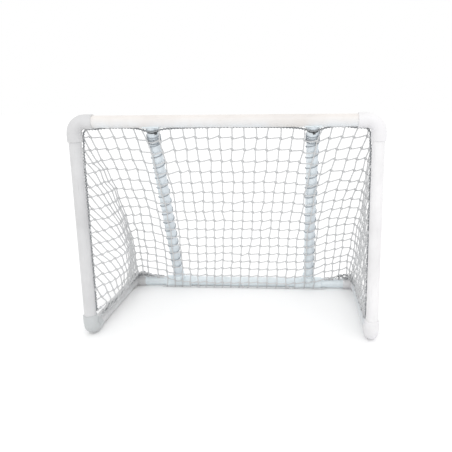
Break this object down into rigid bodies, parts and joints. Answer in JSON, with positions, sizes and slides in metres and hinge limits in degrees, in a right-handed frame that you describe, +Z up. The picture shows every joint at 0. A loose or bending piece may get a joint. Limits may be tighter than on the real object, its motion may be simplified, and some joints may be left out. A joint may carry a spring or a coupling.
{
  "type": "hockey goal net",
  "caption": "Free-standing hockey goal: a frame of plastic pipe and fittings with a knotted net that hangs from the crossbar to the rear rail and closes both sides.",
  "frame": {"origin": "on the floor, under the middle of the frame", "axes": "+X along the crossbar to the right as seen from the mouth, +Y from the mouth to the rear rail, +Z up"},
  "size_m": [1.2288, 0.6193, 0.9236],
  "materials": {
    "pipe": "white, satin",
    "fitting": "white, moulded",
    "net": "white knotted twine",
    "rope": "white braid, soiled",
    "lacing": "white twine",
    "clip": "white, moulded",
    "screw": "zinc plated",
    "tie": "grey, moulded"
  },
  "bodies": {
    "root": {"crossbar": "pipe", "left_post": "pipe", "right_post": "pipe", "left_base_rail": "pipe", "right_base_rail": "pipe", "rear_rail_left": "pipe", "rear_rail_centre": "pipe", "rear_rail_right": "pipe", "left_support": "pipe", "right_support": "pipe", "top_left_elbow": "fitting", "top_right_elbow": "fitting", "bottom_left_elbow": "fitting", "bottom_right_elbow": "fitting", "rear_left_elbow": "fitting", "rear_right_elbow": "fitting", "rear_left_tee": "fitting", "rear_right_tee": "fitting", "left_support_saddle": "fitting", "right_support_saddle": "fitting", "left_back_net": "net", "centre_back_net": "net", "right_back_net": "net", "left_side_net": "net", "right_side_net": "net", "mouth_rope": "rope", "left_base_rope": "rope", "right_base_rope": "rope", "rear_rope": "rope", "left_lacing": "lacing", "right_lacing": "lacing", "saddle_screws": "screw", "support_ties": "tie", "net_clips": "clip", "net_clip_screws": "screw"}
  },
  "joints": []
}
